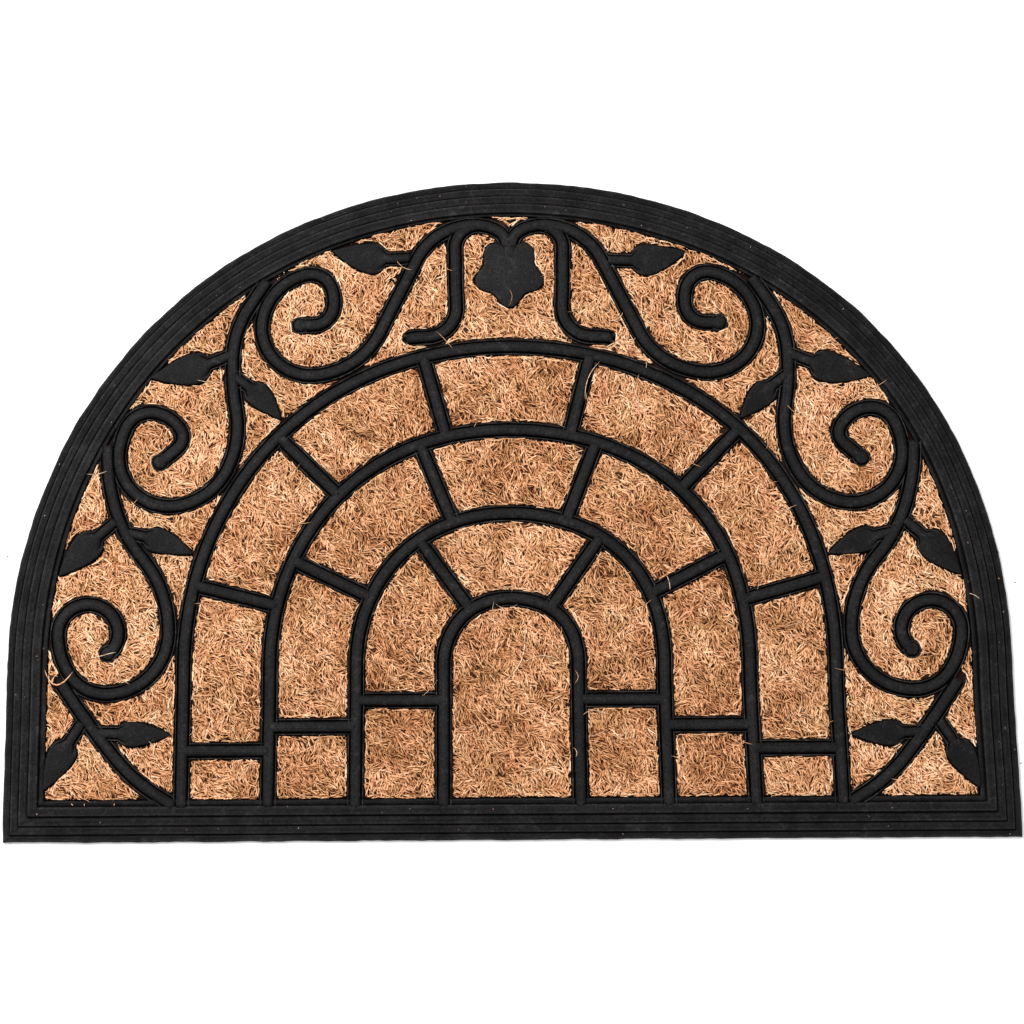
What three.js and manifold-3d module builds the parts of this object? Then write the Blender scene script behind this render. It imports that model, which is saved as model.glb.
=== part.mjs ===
// A half-round doormat: a black rubber grille moulded over one panel of woven coir.
// Lengths are in millimetres. X runs along the straight base, Y up the arch, Z up from the floor.
// Points of the pattern are measured from the middle of the base edge, then the group is centred.
import * as THREE from 'three';
import { mergeVertices } from 'three/addons/utils/BufferGeometryUtils.js';
import Module from 'manifold-3d';

const wasm = await Module();
wasm.setup();

// Driving dimensions of the mat
const WIDTH = 600;
const HEIGHT = 400;
const THICKNESS = 8;
const HALF_WIDTH = WIDTH / 2;
const ARCH_CENTRE = 103.4;
const CLEARANCE = 0.3;

// The moulding came out of its tool a little square: the arch bulges at its shoulders and is flat at its crown.
const BULGE = 1.8;
const BULGE_SKEW = 0.9;
const BULGE_FULL_RADIUS = 140;
const SPRINGING = HEIGHT - HALF_WIDTH + BULGE;

// Border: terraces that rise inwards, measured from the outer edge.
// The arch of its opening sits a little higher than its own, so its lip is narrower at the crown.
const BORDER_WIDTH = 24.2;
const OPENING_RISE = 1.8;
const BORDER_TERRACES = [
  { inset: 0, bottom: 0, top: 2.4 },
  { inset: 4.2, bottom: 2.4, top: 4.0 },
  { inset: 9.2, bottom: 4.0, top: 5.4 },
  { inset: 14.6, bottom: 5.4, top: 7.6 },
];
const TERRACE_CHAMFER = 0.7;
const BORDER_LIP = { inset: 20.6, top: 6.2 };

// Ribs: a raised bead on a wider, lower flange, moulded on top of the coir
const BEAD_WIDTH = 6.4;
const BEAD_TOP_WIDTH = 4.2;
const FLANGE_WIDTH = 9.7;
const FLANGE_TOP = 6.2;
const RIB_FOOT = 4.3;
const COIR_WEB = RIB_FOOT - CLEARANCE;
const DEGREES_PER_STEP = 20;
const LONGEST_STEP = 17;
const LONGEST_RUN = 40;
const GRID = 1 / 1024;
const SLIVER = 0.01;

// Brick-like courses of the four concentric arches, with their spokes in degrees above the horizontal.
// The left spokes sit a little lower than the right ones.
const ARCH_RADII = [40.4, 92.4, 143.9, 194.9];
const LEFT_SPOKE_DROP = 1;
const COURSES = [
  { inner: 0, outer: 1, sill: 82.5, spokes: [55] },
  { inner: 1, outer: 2, sill: 67, spokes: [27, 69] },
  { inner: 2, outer: 3, sill: 53, spokes: [15.5, 46, 75.5] },
];

// Scrolls of one half, drawn on the left: where the line starts, its heading there in degrees,
// and the places that a chain of arcs passes through, each arc tangent to the one before it
const SCROLLS = [
  {
    name: 'crown',
    knob: true,
    start: { x: -1.5, y: 358, heading: 84 },
    through: [
      { x: -7.5, y: 369 },
      { x: -21, y: 372.2 },
      { x: -55.8, y: 350.6 },
      { x: -77.8, y: 306 },
      { x: -117.2, y: 279.5 },
      { x: -148.6, y: 314.4 },
      { x: -122, y: 341.8 },
      { x: -107, y: 333.2 },
      { x: -106, y: 320.8 },
      { x: -117.5, y: 310.4 },
      { x: -126, y: 310.4 },
    ],
  },
  {
    name: 'stem beside the flower',
    knob: false,
    start: { x: -18.5, y: 372, heading: 180 },
    through: [
      { x: -32.6, y: 357.5 },
      { x: -32.4, y: 344 },
      { x: -31.8, y: 322 },
      { x: -50, y: 302.8 },
      { x: -64.5, y: 301.2 },
    ],
  },
  {
    name: 'shoulder',
    knob: true,
    start: { x: -146, y: 338, heading: 235 },
    through: [
      { x: -157.2, y: 321 },
      { x: -166.4, y: 291 },
      { x: -164.2, y: 258 },
      { x: -169.5, y: 221.5 },
      { x: -200.6, y: 200 },
      { x: -234.1, y: 232 },
      { x: -229.8, y: 248.4 },
      { x: -213.9, y: 257.2 },
      { x: -197, y: 246 },
      { x: -198.5, y: 236 },
      { x: -209.4, y: 226.7 },
    ],
  },
  {
    name: 'foot',
    knob: true,
    start: { x: -240.8, y: 237, heading: 268 },
    through: [
      { x: -236.3, y: 200.6 },
      { x: -219, y: 168 },
      { x: -203.4, y: 122 },
      { x: -240, y: 87.1 },
      { x: -262, y: 99.5 },
      { x: -268.8, y: 123 },
      { x: -250.5, y: 141 },
      { x: -233, y: 124 },
      { x: -239.2, y: 111.3 },
    ],
  },
  {
    name: 'root',
    knob: false,
    start: { x: -266, y: 93, heading: 303 },
    through: [
      { x: -233.5, y: 48.5 },
      { x: -205.3, y: 24.5 },
    ],
  },
];
const KNOB_RADIUS = 5.4;
const KNOB_BEAD_RADIUS = 3.7;
const KNOB_SIDES = 14;
const KNOB_OVERLAP = 1.3;

// Leaves of one half: the root of the stalk, the tip, the greatest width and the bow of the midrib
const LEAVES = [
  { root: { x: -60, y: 352 }, tip: { x: -107, y: 356.5 }, width: 19.5, bow: 2.5 },
  { root: { x: -166, y: 293 }, tip: { x: -216, y: 278.5 }, width: 19.5, bow: 2 },
  { root: { x: -166.5, y: 280 }, tip: { x: -137, y: 252.5 }, width: 15, bow: 1.5 },
  { root: { x: -235.5, y: 191 }, tip: { x: -269, y: 158 }, width: 18.5, bow: -1 },
  { root: { x: -231, y: 184.5 }, tip: { x: -189, y: 171 }, width: 15.5, bow: 1.5 },
  { root: { x: -254, y: 70 }, tip: { x: -276, y: 30 }, width: 17, bow: -1 },
  { root: { x: -246, y: 64 }, tip: { x: -201, y: 62.5 }, width: 15.5, bow: 0 },
];
const STALK_WIDTH = 8.4;
const STALK_SHARE = 0.3;
const LEAF_TOP = 7.2;
const RIGHT_LEAF_DROP = 1.8;
const LEAF_EDGE = 1.2;
const LEAF_STEPS = 8;

// Five-lobed flower that hangs from the crown
const FLOWER = { x: 0, y: 342.3, lobes: 5, radius: 21.6, valley: 16.3, steps: 30 };

const RUBBER = new THREE.MeshStandardMaterial({ color: 0x2c2b2c, roughness: 0.62, metalness: 0 });
const COIR = new THREE.MeshStandardMaterial({ color: 0xc08c60, roughness: 0.95, metalness: 0 });

const radians = THREE.MathUtils.degToRad;

// Radial push of the whole arch: outwards on the diagonals, inwards at crown and sides
function pushed(point, depthAt) {
  const rise = Math.max(point.y - SPRINGING, 0);
  const radius = Math.hypot(point.x, rise);
  const angle = Math.atan2(rise, point.x);
  const reach = Math.min(radius / BULGE_FULL_RADIUS, 1);
  const settle = THREE.MathUtils.smoothstep(point.y, 0, SPRINGING);
  const push = -depthAt(Math.cos(angle)) * Math.cos(4 * angle) * reach * settle;
  return new THREE.Vector2(
    point.x + push * Math.cos(angle),
    point.y + push * Math.sin(angle),
  );
}

// The border and the arches take the full push
function pressed(x, y) {
  return pushed({ x, y }, (side) => BULGE + BULGE_SKEW * side);
}

// The scrolls and leaves are drawn as they lie on the left; on the right they follow the larger push
function placed(point, side) {
  const mirrored = { x: -side * point.x, y: point.y };
  return pushed(mirrored, (cosine) => Math.max(2 * BULGE_SKEW * cosine, 0));
}

// Points of an arch with upright legs, from the left foot over the crown to the right foot
function archPoints(radius, centre, foot, steps) {
  const points = [pressed(-radius, foot)];
  const legSteps = Math.max(Math.round((centre - foot) / 40), 1);
  for (let i = 1; i < legSteps; i += 1) {
    points.push(pressed(-radius, foot + ((centre - foot) * i) / legSteps));
  }
  for (let i = 0; i <= steps; i += 1) {
    const angle = Math.PI * (1 - i / steps);
    points.push(pressed(radius * Math.cos(angle), centre + radius * Math.sin(angle)));
  }
  for (let i = legSteps - 1; i >= 1; i -= 1) {
    points.push(pressed(radius, foot + ((centre - foot) * i) / legSteps));
  }
  points.push(pressed(radius, foot));
  return points;
}

// Closed outline of the mat, drawn in from its edge, with its arch raised
function matOutline(inset, rise = 0) {
  const steps = 40;
  return new THREE.Shape(archPoints(HALF_WIDTH - inset, SPRINGING + rise, inset, steps).reverse());
}

// Centre line of a scroll: each arc leaves the last place on its heading and ends in the next place
function walk({ start, through }) {
  const points = [start];
  let heading = radians(start.heading);
  let here = start;
  for (const next of through) {
    const chord = Math.hypot(next.x - here.x, next.y - here.y);
    const bearing = Math.atan2(next.y - here.y, next.x - here.x);
    const half = Math.atan2(Math.sin(bearing - heading), Math.cos(bearing - heading));
    const turn = 2 * half;
    const radius = chord / (2 * Math.max(Math.abs(Math.sin(half)), 1e-3));
    const length = radius * Math.abs(turn);
    const steps = Math.ceil(Math.max(Math.abs(turn) / radians(DEGREES_PER_STEP), length / LONGEST_RUN));
    const stepChord = chord * Math.sin(Math.abs(half) / steps) / Math.sin(Math.abs(half));
    let { x, y } = here;
    for (let i = 1; i < steps; i += 1) {
      const middle = heading + (turn * (i - 0.5)) / steps;
      x += stepChord * Math.cos(middle);
      y += stepChord * Math.sin(middle);
      points.push({ x, y });
    }
    points.push(next);
    heading += turn;
    here = next;
  }
  return points;
}

// A flat polyline as a curve that keeps exactly its own points as the steps of a sweep
class RibLine extends THREE.Curve {
  constructor(points, height) {
    super();
    this.points = points;
    this.height = height;
  }

  getPoint(t) {
    const last = this.points.length - 1;
    const place = THREE.MathUtils.clamp(t * last, 0, last);
    const index = Math.min(Math.floor(place), last - 1);
    const a = this.points[index];
    const b = this.points[index + 1];
    const blend = place - index;
    return new THREE.Vector3(
      THREE.MathUtils.lerp(a.x, b.x, blend),
      THREE.MathUtils.lerp(a.y, b.y, blend),
      this.height,
    );
  }

  getTangent(t) {
    const last = this.points.length - 1;
    const index = Math.round(t * last);
    const before = this.points[Math.max(index - 1, 0)];
    const here = this.points[index];
    const after = this.points[Math.min(index + 1, last)];
    const into = new THREE.Vector2(here.x - before.x, here.y - before.y).normalize();
    const out = new THREE.Vector2(after.x - here.x, after.y - here.y).normalize();
    return new THREE.Vector3(into.x + out.x, into.y + out.y, 0).normalize();
  }

  getUtoTmapping(u) {
    return u;
  }
}

// A closed three.js geometry becomes a solid that can be joined and cut.
// Its points go on a fine grid, so that faces at one height lie exactly level.
function solid(geometry) {
  const bare = geometry.index ? geometry.toNonIndexed() : geometry.clone();
  bare.deleteAttribute('normal');
  bare.deleteAttribute('uv');
  bare.attributes.position.array.forEach((value, i, all) => {
    all[i] = Math.round(value / GRID) * GRID;
  });
  const merged = mergeVertices(bare, GRID / 2);
  return new wasm.Manifold(new wasm.Mesh({
    numProp: 3,
    vertProperties: new Float32Array(merged.attributes.position.array),
    triVerts: new Uint32Array(merged.index.array),
  }));
}

function joined(solids) {
  return solids.reduce((whole, next) => whole.add(next));
}

// Section of a sweep: its first axis points down and its second one across the rib
function section(corners) {
  return new THREE.Shape(corners.map(({ across, height }) => new THREE.Vector2(-height, across)));
}

function ribSection() {
  const left = [
    { across: -FLANGE_WIDTH / 2, height: RIB_FOOT },
    { across: -FLANGE_WIDTH / 2, height: FLANGE_TOP },
    { across: -BEAD_WIDTH / 2, height: FLANGE_TOP },
    { across: -BEAD_TOP_WIDTH / 2, height: THICKNESS },
  ];
  const right = left.map(({ across, height }) => ({ across: -across, height })).reverse();
  return section([...left, ...right]);
}

function clearanceSection() {
  const half = FLANGE_WIDTH / 2 + CLEARANCE;
  return section([
    { across: -half, height: COIR_WEB },
    { across: -half, height: THICKNESS + 1 },
    { across: half, height: THICKNESS + 1 },
    { across: half, height: COIR_WEB },
  ]);
}

// The place at a distance past the end of a line, straight on from the point before it
function beyond(end, before, distance) {
  const away = new THREE.Vector2(end.x - before.x, end.y - before.y).setLength(distance);
  return new THREE.Vector2(end.x + away.x, end.y + away.y);
}

// The same line, a little longer at both ends
function lengthened(points, distance) {
  const last = points.length - 1;
  return [
    beyond(points[0], points[1], distance),
    ...points.slice(1, last),
    beyond(points[last], points[last - 1], distance),
  ];
}

function sweep(points, shape) {
  const line = new RibLine(points, 0);
  const steps = points.length - 1;
  return solid(new THREE.ExtrudeGeometry(shape, { steps, extrudePath: line, bevelEnabled: false }));
}

function slab(shape, bottom, top) {
  const geometry = new THREE.ExtrudeGeometry(shape, { depth: top - bottom, bevelEnabled: false });
  return solid(geometry.translate(0, 0, bottom));
}

// A slab whose upper edge is taken off all round. The lower edge of the sweep is cut away flat.
function chamferedSlab(shape, bottom, top, chamfer) {
  const geometry = new THREE.ExtrudeGeometry(shape, {
    depth: top - bottom,
    bevelEnabled: true,
    bevelThickness: chamfer,
    bevelSize: chamfer,
    bevelOffset: -chamfer,
    bevelSegments: 1,
  });
  const below = new THREE.BoxGeometry(2 * WIDTH, 2 * WIDTH, 2 * THICKNESS);
  below.translate(0, HEIGHT / 2, bottom - THICKNESS);
  return solid(geometry.translate(0, 0, bottom - chamfer)).subtract(solid(below));
}

// Every centre line of the grille
function ribLines() {
  const lines = [];
  for (const radius of ARCH_RADII) {
    const steps = Math.round(180 / Math.min(DEGREES_PER_STEP, (180 * LONGEST_STEP) / (Math.PI * radius)));
    lines.push(archPoints(radius, ARCH_CENTRE, BORDER_LIP.inset - 1, steps));
  }
  for (const course of COURSES) {
    const inner = ARCH_RADII[course.inner];
    const outer = ARCH_RADII[course.outer];
    for (const side of [-1, 1]) {
      lines.push([pressed(side * inner, course.sill), pressed(side * outer, course.sill)]);
      for (const spoke of course.spokes) {
        const angle = radians(side < 0 ? spoke - LEFT_SPOKE_DROP : spoke);
        const along = (radius) => pressed(
          side * radius * Math.cos(angle),
          ARCH_CENTRE + radius * Math.sin(angle),
        );
        lines.push([along(inner), along(outer)]);
      }
    }
  }
  for (const scroll of SCROLLS) {
    const points = walk(scroll);
    if (scroll.knob) {
      points.push(beyond(points.at(-1), points.at(-2), KNOB_OVERLAP));
    }
    for (const side of [-1, 1]) {
      lines.push(points.map((point) => placed(point, side)));
    }
  }
  return lines;
}

// Round knobs that close the free ends of the scrolls
function knobs(radius, bottom, top) {
  const ends = SCROLLS.filter((scroll) => scroll.knob).map((scroll) => walk(scroll).at(-1));
  return ends.flatMap((end) => [-1, 1].map((side) => {
    const at = placed(end, side);
    const geometry = new THREE.CylinderGeometry(radius, radius, top - bottom, KNOB_SIDES);
    geometry.rotateX(Math.PI / 2);
    geometry.translate(at.x, at.y, (bottom + top) / 2);
    return solid(geometry);
  }));
}

// Half width of a leaf at a share of its length: a narrow stalk, a shoulder and a pointed blade
function leafHalfWidth(leaf, share) {
  const stalk = STALK_WIDTH / 2;
  if (share <= STALK_SHARE) {
    return stalk;
  }
  const blade = (share - STALK_SHARE) / (1 - STALK_SHARE);
  const swell = Math.sin(Math.PI * Math.sqrt(blade)) ** 0.8;
  const fade = stalk * (1 - blade);
  return Math.max(fade, swell * (leaf.width / 2));
}

// Moves every point of a closed outline outwards, square to the edges that meet in it
function grown(points, distance) {
  const count = points.length;
  return points.map((point, i) => {
    const before = points[(i + count - 1) % count];
    const after = points[(i + 1) % count];
    const into = new THREE.Vector2(point.x - before.x, point.y - before.y).normalize();
    const out = new THREE.Vector2(after.x - point.x, after.y - point.y).normalize();
    const normal = new THREE.Vector2(into.y + out.y, -into.x - out.x);
    const mitre = distance / Math.max(1 + into.dot(out), 0.5);
    return new THREE.Vector2(point.x + normal.x * mitre, point.y + normal.y * mitre);
  });
}

// Counter-clockwise outline of a leaf: up one edge from the stalk, round the tip and back.
// The leaves on the right hang a little lower than those on the left.
function leafOutline(leaf, side) {
  const drop = side > 0 ? RIGHT_LEAF_DROP : 0;
  const along = new THREE.Vector2(leaf.tip.x - leaf.root.x, leaf.tip.y - leaf.root.y);
  const length = along.length();
  along.normalize();
  const edge = (share, sign) => {
    const half = leaf.bow * Math.sin(Math.PI * share) + sign * leafHalfWidth(leaf, share);
    return placed({
      x: leaf.root.x + along.x * share * length - along.y * half,
      y: leaf.root.y + along.y * share * length + along.x * half - drop,
    }, side);
  };
  const shares = Array.from({ length: LEAF_STEPS }, (_, i) => i / LEAF_STEPS);
  const outline = [
    ...shares.map((share) => edge(share, -1)),
    placed({ x: leaf.tip.x, y: leaf.tip.y - drop }, side),
    ...shares.map((share) => edge(share, 1)).reverse(),
  ];
  return side < 0 ? outline : outline.reverse();
}

function flowerOutline() {
  const swing = (FLOWER.radius - FLOWER.valley) / 2;
  return Array.from({ length: FLOWER.steps }, (_, i) => {
    const angle = (2 * Math.PI * i) / FLOWER.steps;
    const radius = FLOWER.valley + swing - swing * Math.cos(FLOWER.lobes * (angle - Math.PI / 2));
    return new THREE.Vector2(FLOWER.x + radius * Math.cos(angle), FLOWER.y + radius * Math.sin(angle));
  });
}

// Outlines of all the flat ornaments: leaves on both sides and the flower
function ornamentOutlines() {
  const leaves = LEAVES.flatMap((leaf) => [-1, 1].map((side) => leafOutline(leaf, side)));
  return [...leaves, flowerOutline()];
}

function border() {
  const terraces = BORDER_TERRACES.map(({ inset, bottom, top }) => {
    const shape = matOutline(inset);
    return chamferedSlab(shape, bottom, top, TERRACE_CHAMFER);
  });
  const well = slab(matOutline(BORDER_LIP.inset), BORDER_LIP.top, THICKNESS + 1);
  const opening = slab(matOutline(BORDER_WIDTH, OPENING_RISE), -1, THICKNESS + 1);
  return joined(terraces).subtract(well).subtract(opening);
}

function rubberMoulding() {
  const profile = ribSection();
  const parts = [
    ...ribLines().map((points) => sweep(points, profile)),
    ...ornamentOutlines().map((outline) => (
      chamferedSlab(new THREE.Shape(outline), RIB_FOOT, LEAF_TOP, LEAF_EDGE))),
    ...knobs(KNOB_RADIUS, RIB_FOOT, FLANGE_TOP),
    ...knobs(KNOB_BEAD_RADIUS, RIB_FOOT, THICKNESS),
  ];
  const inside = slab(matOutline(BORDER_LIP.inset - 1), 0, 2 * THICKNESS);
  return joined(parts).intersect(inside).add(border()).simplify(SLIVER);
}

function coirPanel() {
  const panel = slab(matOutline(BORDER_WIDTH + CLEARANCE, OPENING_RISE), 0, THICKNESS);
  const profile = clearanceSection();
  const cutters = [
    ...ribLines().map((points) => sweep(lengthened(points, CLEARANCE), profile)),
    ...ornamentOutlines().map((outline) => (
      slab(new THREE.Shape(grown(outline, CLEARANCE)), COIR_WEB, THICKNESS + 1))),
    ...knobs(KNOB_RADIUS + CLEARANCE, COIR_WEB, THICKNESS + 1),
  ];
  return panel.subtract(joined(cutters)).simplify(SLIVER);
}

function meshOf(name, whole, material) {
  const { vertProperties, triVerts } = whole.getMesh();
  const geometry = new THREE.BufferGeometry();
  geometry.setAttribute('position', new THREE.BufferAttribute(vertProperties, 3));
  geometry.setIndex(new THREE.BufferAttribute(triVerts, 1));
  geometry.computeVertexNormals();
  const mesh = new THREE.Mesh(geometry, material);
  mesh.name = name;
  return mesh;
}

const doormat = new THREE.Group();
doormat.add(meshOf('rubber_moulding', rubberMoulding(), RUBBER));
doormat.add(meshOf('coir_panel', coirPanel(), COIR));
doormat.position.y = -HEIGHT / 2;

export default doormat;
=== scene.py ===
import math

import bpy
import numpy as np
from mathutils import Matrix


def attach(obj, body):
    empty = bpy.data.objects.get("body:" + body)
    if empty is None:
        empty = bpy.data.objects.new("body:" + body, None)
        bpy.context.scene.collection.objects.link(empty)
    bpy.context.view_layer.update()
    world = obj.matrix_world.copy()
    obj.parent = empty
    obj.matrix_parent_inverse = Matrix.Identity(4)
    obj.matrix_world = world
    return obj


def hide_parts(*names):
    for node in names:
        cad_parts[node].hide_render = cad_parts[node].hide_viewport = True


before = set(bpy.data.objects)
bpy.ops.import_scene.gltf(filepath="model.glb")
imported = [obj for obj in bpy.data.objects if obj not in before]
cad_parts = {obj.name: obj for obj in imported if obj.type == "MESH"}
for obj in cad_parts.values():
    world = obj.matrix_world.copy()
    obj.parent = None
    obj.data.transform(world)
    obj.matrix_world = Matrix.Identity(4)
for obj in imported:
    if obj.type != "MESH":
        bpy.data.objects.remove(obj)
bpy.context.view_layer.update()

# Lengths are in millimetres until a mesh is made. X runs along the base, Y up the arch from the base
# edge, Z up from the floor. These sizes repeat those of the part's source.
WIDTH = 600.0
HEIGHT = 400.0
THICKNESS = 8.0
HALF_WIDTH = WIDTH / 2
ARCH_CENTRE = 103.4
BULGE = 1.8
BULGE_SKEW = 0.9
BULGE_FULL_RADIUS = 140.0
SPRINGING = HEIGHT - HALF_WIDTH + BULGE
BORDER_WIDTH = 24.2
OPENING_RISE = 1.8
LIP_INSET = 20.6
CLEARANCE = 0.3
FLANGE_HALF = 4.85
RIB_FOOT = 4.3
ARCH_RADII = (40.4, 92.4, 143.9, 194.9)
LEFT_SPOKE_DROP = 1.0
KNOB_RADIUS = 5.4
STALK_HALF = 4.2
STALK_SHARE = 0.3
RIGHT_LEAF_DROP = 1.8
MM = 0.001

COURSES = (
    {"inner": 0, "outer": 1, "sill": 82.5, "spokes": (55,)},
    {"inner": 1, "outer": 2, "sill": 67.0, "spokes": (27, 69)},
    {"inner": 2, "outer": 3, "sill": 53.0, "spokes": (15.5, 46, 75.5)},
)

# Scrolls of the left half: start x, y and heading in degrees, then the places each arc ends in
SCROLLS = {
    "crown": {
        "start": (-1.5, 358, 84),
        "through": (
            (-7.5, 369), (-21, 372.2), (-55.8, 350.6), (-77.8, 306), (-117.2, 279.5), (-148.6, 314.4),
            (-122, 341.8), (-107, 333.2), (-106, 320.8), (-117.5, 310.4), (-126, 310.4),
        ),
        "knob": True,
    },
    "flower_stem": {
        "start": (-18.5, 372, 180),
        "through": ((-32.6, 357.5), (-32.4, 344), (-31.8, 322), (-50, 302.8), (-64.5, 301.2)),
        "knob": False,
    },
    "shoulder": {
        "start": (-146, 338, 235),
        "through": (
            (-157.2, 321), (-166.4, 291), (-164.2, 258), (-169.5, 221.5), (-200.6, 200), (-234.1, 232),
            (-229.8, 248.4), (-213.9, 257.2), (-197, 246), (-198.5, 236), (-209.4, 226.7),
        ),
        "knob": True,
    },
    "foot": {
        "start": (-240.8, 237, 268),
        "through": (
            (-236.3, 200.6), (-219, 168), (-203.4, 122), (-240, 87.1), (-262, 99.5), (-268.8, 123),
            (-250.5, 141), (-233, 124), (-239.2, 111.3),
        ),
        "knob": True,
    },
    "root": {
        "start": (-266, 93, 303),
        "through": ((-233.5, 48.5), (-205.3, 24.5), (-199.6, 20.6)),
        "knob": False,
    },
}

LEAVES = (
    {"root": (-60, 352), "tip": (-107, 356.5), "width": 19.5, "bow": 2.5},
    {"root": (-166, 293), "tip": (-216, 278.5), "width": 19.5, "bow": 2.0},
    {"root": (-166.5, 280), "tip": (-137, 252.5), "width": 15.0, "bow": 1.5},
    {"root": (-235.5, 191), "tip": (-269, 158), "width": 18.5, "bow": -1.0},
    {"root": (-231, 184.5), "tip": (-189, 171), "width": 15.5, "bow": 1.5},
    {"root": (-254, 70), "tip": (-276, 30), "width": 17.0, "bow": -1.0},
    {"root": (-246, 64), "tip": (-201, 62.5), "width": 15.5, "bow": 0.0},
)

FLOWER_CENTRE = (0.0, 342.3)
FLOWER_LOBES = 5
FLOWER_RADIUS = 21.6
FLOWER_VALLEY = 16.3

# Rib section, from its rim in to the crown of the bead: distance from the centre line, height, and how
# light the skin is there, where 1 is the plain skin. That lightness is painted light: painted shade on the
# outer wall and in the groove, a painted highlight along the rim and a fainter one on the crown of the bead
RIB_SECTION = np.array([
    (4.85, 5.70, 0.3), (4.62, 6.60, 2.6), (4.22, 6.66, 4.2), (3.92, 5.30, 0.3), (3.40, 4.90, 0.1),
    (3.08, 6.70, 0.3), (2.75, 7.55, 0.85), (2.20, 7.88, 0.85), (1.20, 7.97, 1.0), (0.00, 8.00, 1.2),
])

# Skin of a leaf or petal: distance in from its edge, height and lightness there. The lightness paints
# shade at the edge's foot and a highlight on the rounded edge just inside it
LEAF_SECTION = np.array([
    (0.0, 5.6, 0.2), (0.25, 6.7, 0.6), (0.7, 7.15, 1.1), (1.4, 7.22, 0.85), (3.0, 7.28, 0.85),
    (10.0, 7.42, 0.9), (22.0, 7.5, 0.9),
])

# Border section: distance in from the outer edge, height and lightness there. The lightness paints shade
# at the foot of each riser and in the lip's groove, and a highlight along each terrace's crest
BORDER_SECTION = np.array([
    (0.0, 0.0, 0.6), (0.0, 1.9, 0.9), (0.4, 2.35, 1.8), (1.2, 2.45, 1.0), (2.3, 2.40, 0.8), (3.3, 2.40, 1.0),
    (3.9, 2.10, 0.3), (4.3, 2.15, 0.3), (4.45, 3.5, 0.8), (4.8, 3.9, 2.0), (5.4, 4.0, 1.0), (6.6, 3.92, 0.85),
    (7.6, 4.0, 1.05), (8.5, 3.95, 1.0), (8.95, 3.6, 0.3), (9.3, 3.65, 0.3), (9.45, 4.9, 0.8), (9.8, 5.3, 2.0),
    (10.5, 5.42, 1.0), (11.9, 5.32, 0.8), (12.6, 5.42, 1.1), (14.0, 5.38, 1.0), (14.4, 5.0, 0.3),
    (14.75, 5.05, 0.3), (14.9, 7.0, 0.8), (15.3, 7.45, 2.0), (16.2, 7.6, 1.05), (17.4, 7.52, 0.9),
    (18.6, 7.6, 1.05), (19.9, 7.56, 1.6), (20.3, 7.3, 0.9), (20.6, 5.5, 0.25), (21.0, 5.4, 0.3),
    (21.6, 6.1, 0.9), (23.2, 6.2, 1.0), (23.9, 6.1, 1.2), (24.2, 5.3, 0.4), (24.2, 0.0, 0.3),
])


def smooth_share(value, low, high):
    """0 below low, 1 above high, and 3t^2 - 2t^3 of the share t of the way between them."""
    share = np.clip((value - low) / (high - low), 0.0, 1.0)
    return share * share * (3.0 - 2.0 * share)


def pushed(points, depth_at):
    """The points, each moved from the springing by -depth cos 4a at its angle a, fading to none near it."""
    x, y = points[..., 0], points[..., 1]
    rise = np.maximum(y - SPRINGING, 0.0)
    angle = np.arctan2(rise, x)
    reach = np.minimum(np.hypot(x, rise) / BULGE_FULL_RADIUS, 1.0)
    push = -depth_at(np.cos(angle)) * np.cos(4 * angle) * reach * smooth_share(y, 0.0, SPRINGING)
    return points + push[..., None] * np.stack([np.cos(angle), np.sin(angle)], axis=-1)


def pressed(points):
    """The full push that the border and the arches take."""
    return pushed(points, lambda side: BULGE + BULGE_SKEW * side)


def placed(points, side):
    """Points drawn on the left half, laid on side -1 or mirrored to side 1, where the push is larger."""
    mirrored = points * np.array([-side, 1.0])
    return pushed(mirrored, lambda cosine: np.maximum(2 * BULGE_SKEW * cosine, 0.0))


def straight(start, end, step):
    """Evenly spaced points from start to end, both kept."""
    start, end = np.array(start, float), np.array(end, float)
    count = max(int(math.ceil(np.linalg.norm(end - start) / step)), 1)
    return start + np.linspace(0.0, 1.0, count + 1)[:, None] * (end - start)


def upright_arch(radius, centre, foot, step):
    """An arch with upright legs: up the left leg, half round the circle, down the right leg."""
    turns = np.linspace(np.pi, 0.0, int(np.pi * radius / step) + 1)
    half_round = np.stack([radius * np.cos(turns), centre + radius * np.sin(turns)], axis=1)
    left = straight((-radius, foot), (-radius, centre), step)[:-1]
    right = straight((radius, centre), (radius, foot), step)[1:]
    return np.concatenate([left, half_round, right])


def scroll_line(scroll, step):
    """A chain of arcs. Each leaves the last place on its heading and turns by twice its chord's bearing."""
    *here, heading = scroll["start"]
    here, heading = np.array(here, float), math.radians(heading)
    runs = [here[None]]
    for place in np.array(scroll["through"], float):
        chord = place - here
        half = math.remainder(math.atan2(chord[1], chord[0]) - heading, 2 * math.pi)
        half = half if abs(half) > 1e-4 else 1e-4
        radius = np.linalg.norm(chord) / (2 * math.sin(half))
        count = max(int(math.ceil(abs(2 * half * radius) / step)), 2)
        turned = heading + np.linspace(0.0, 2 * half, count + 1)[1:]
        arc = np.stack([np.sin(turned) - math.sin(heading), math.cos(heading) - np.cos(turned)], axis=1)
        runs.append(here + radius * arc)
        here, heading = place, heading + 2 * half
    return np.concatenate(runs)


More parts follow.
